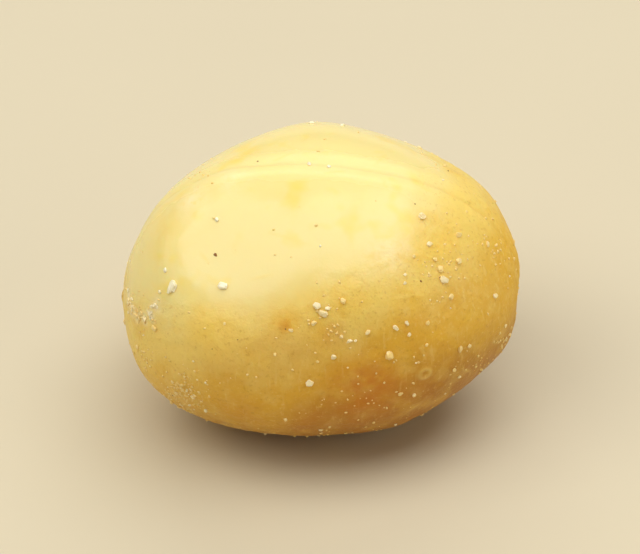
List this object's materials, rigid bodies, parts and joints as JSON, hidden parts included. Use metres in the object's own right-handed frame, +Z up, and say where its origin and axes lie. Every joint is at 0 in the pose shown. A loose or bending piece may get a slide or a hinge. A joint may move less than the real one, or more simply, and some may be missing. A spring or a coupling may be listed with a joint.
{
  "type": "macadamia nut kernel",
  "caption": "Whole shelled, roasted macadamia kernel: a rounded, slightly long seed of two joined halves, cream on top and tan below.",
  "frame": {"origin": "under the middle of the kernel, on the surface that it lies on", "axes": "+X along the seam between the two halves, towards the scar; +Y across the halves; +Z up from the resting spot"},
  "size_m": [0.0222, 0.018, 0.0167],
  "materials": {
    "kernel_flesh": "waxy and slightly oily"
  },
  "bodies": {
    "root": {"kernel": "kernel_flesh"}
  },
  "joints": []
}
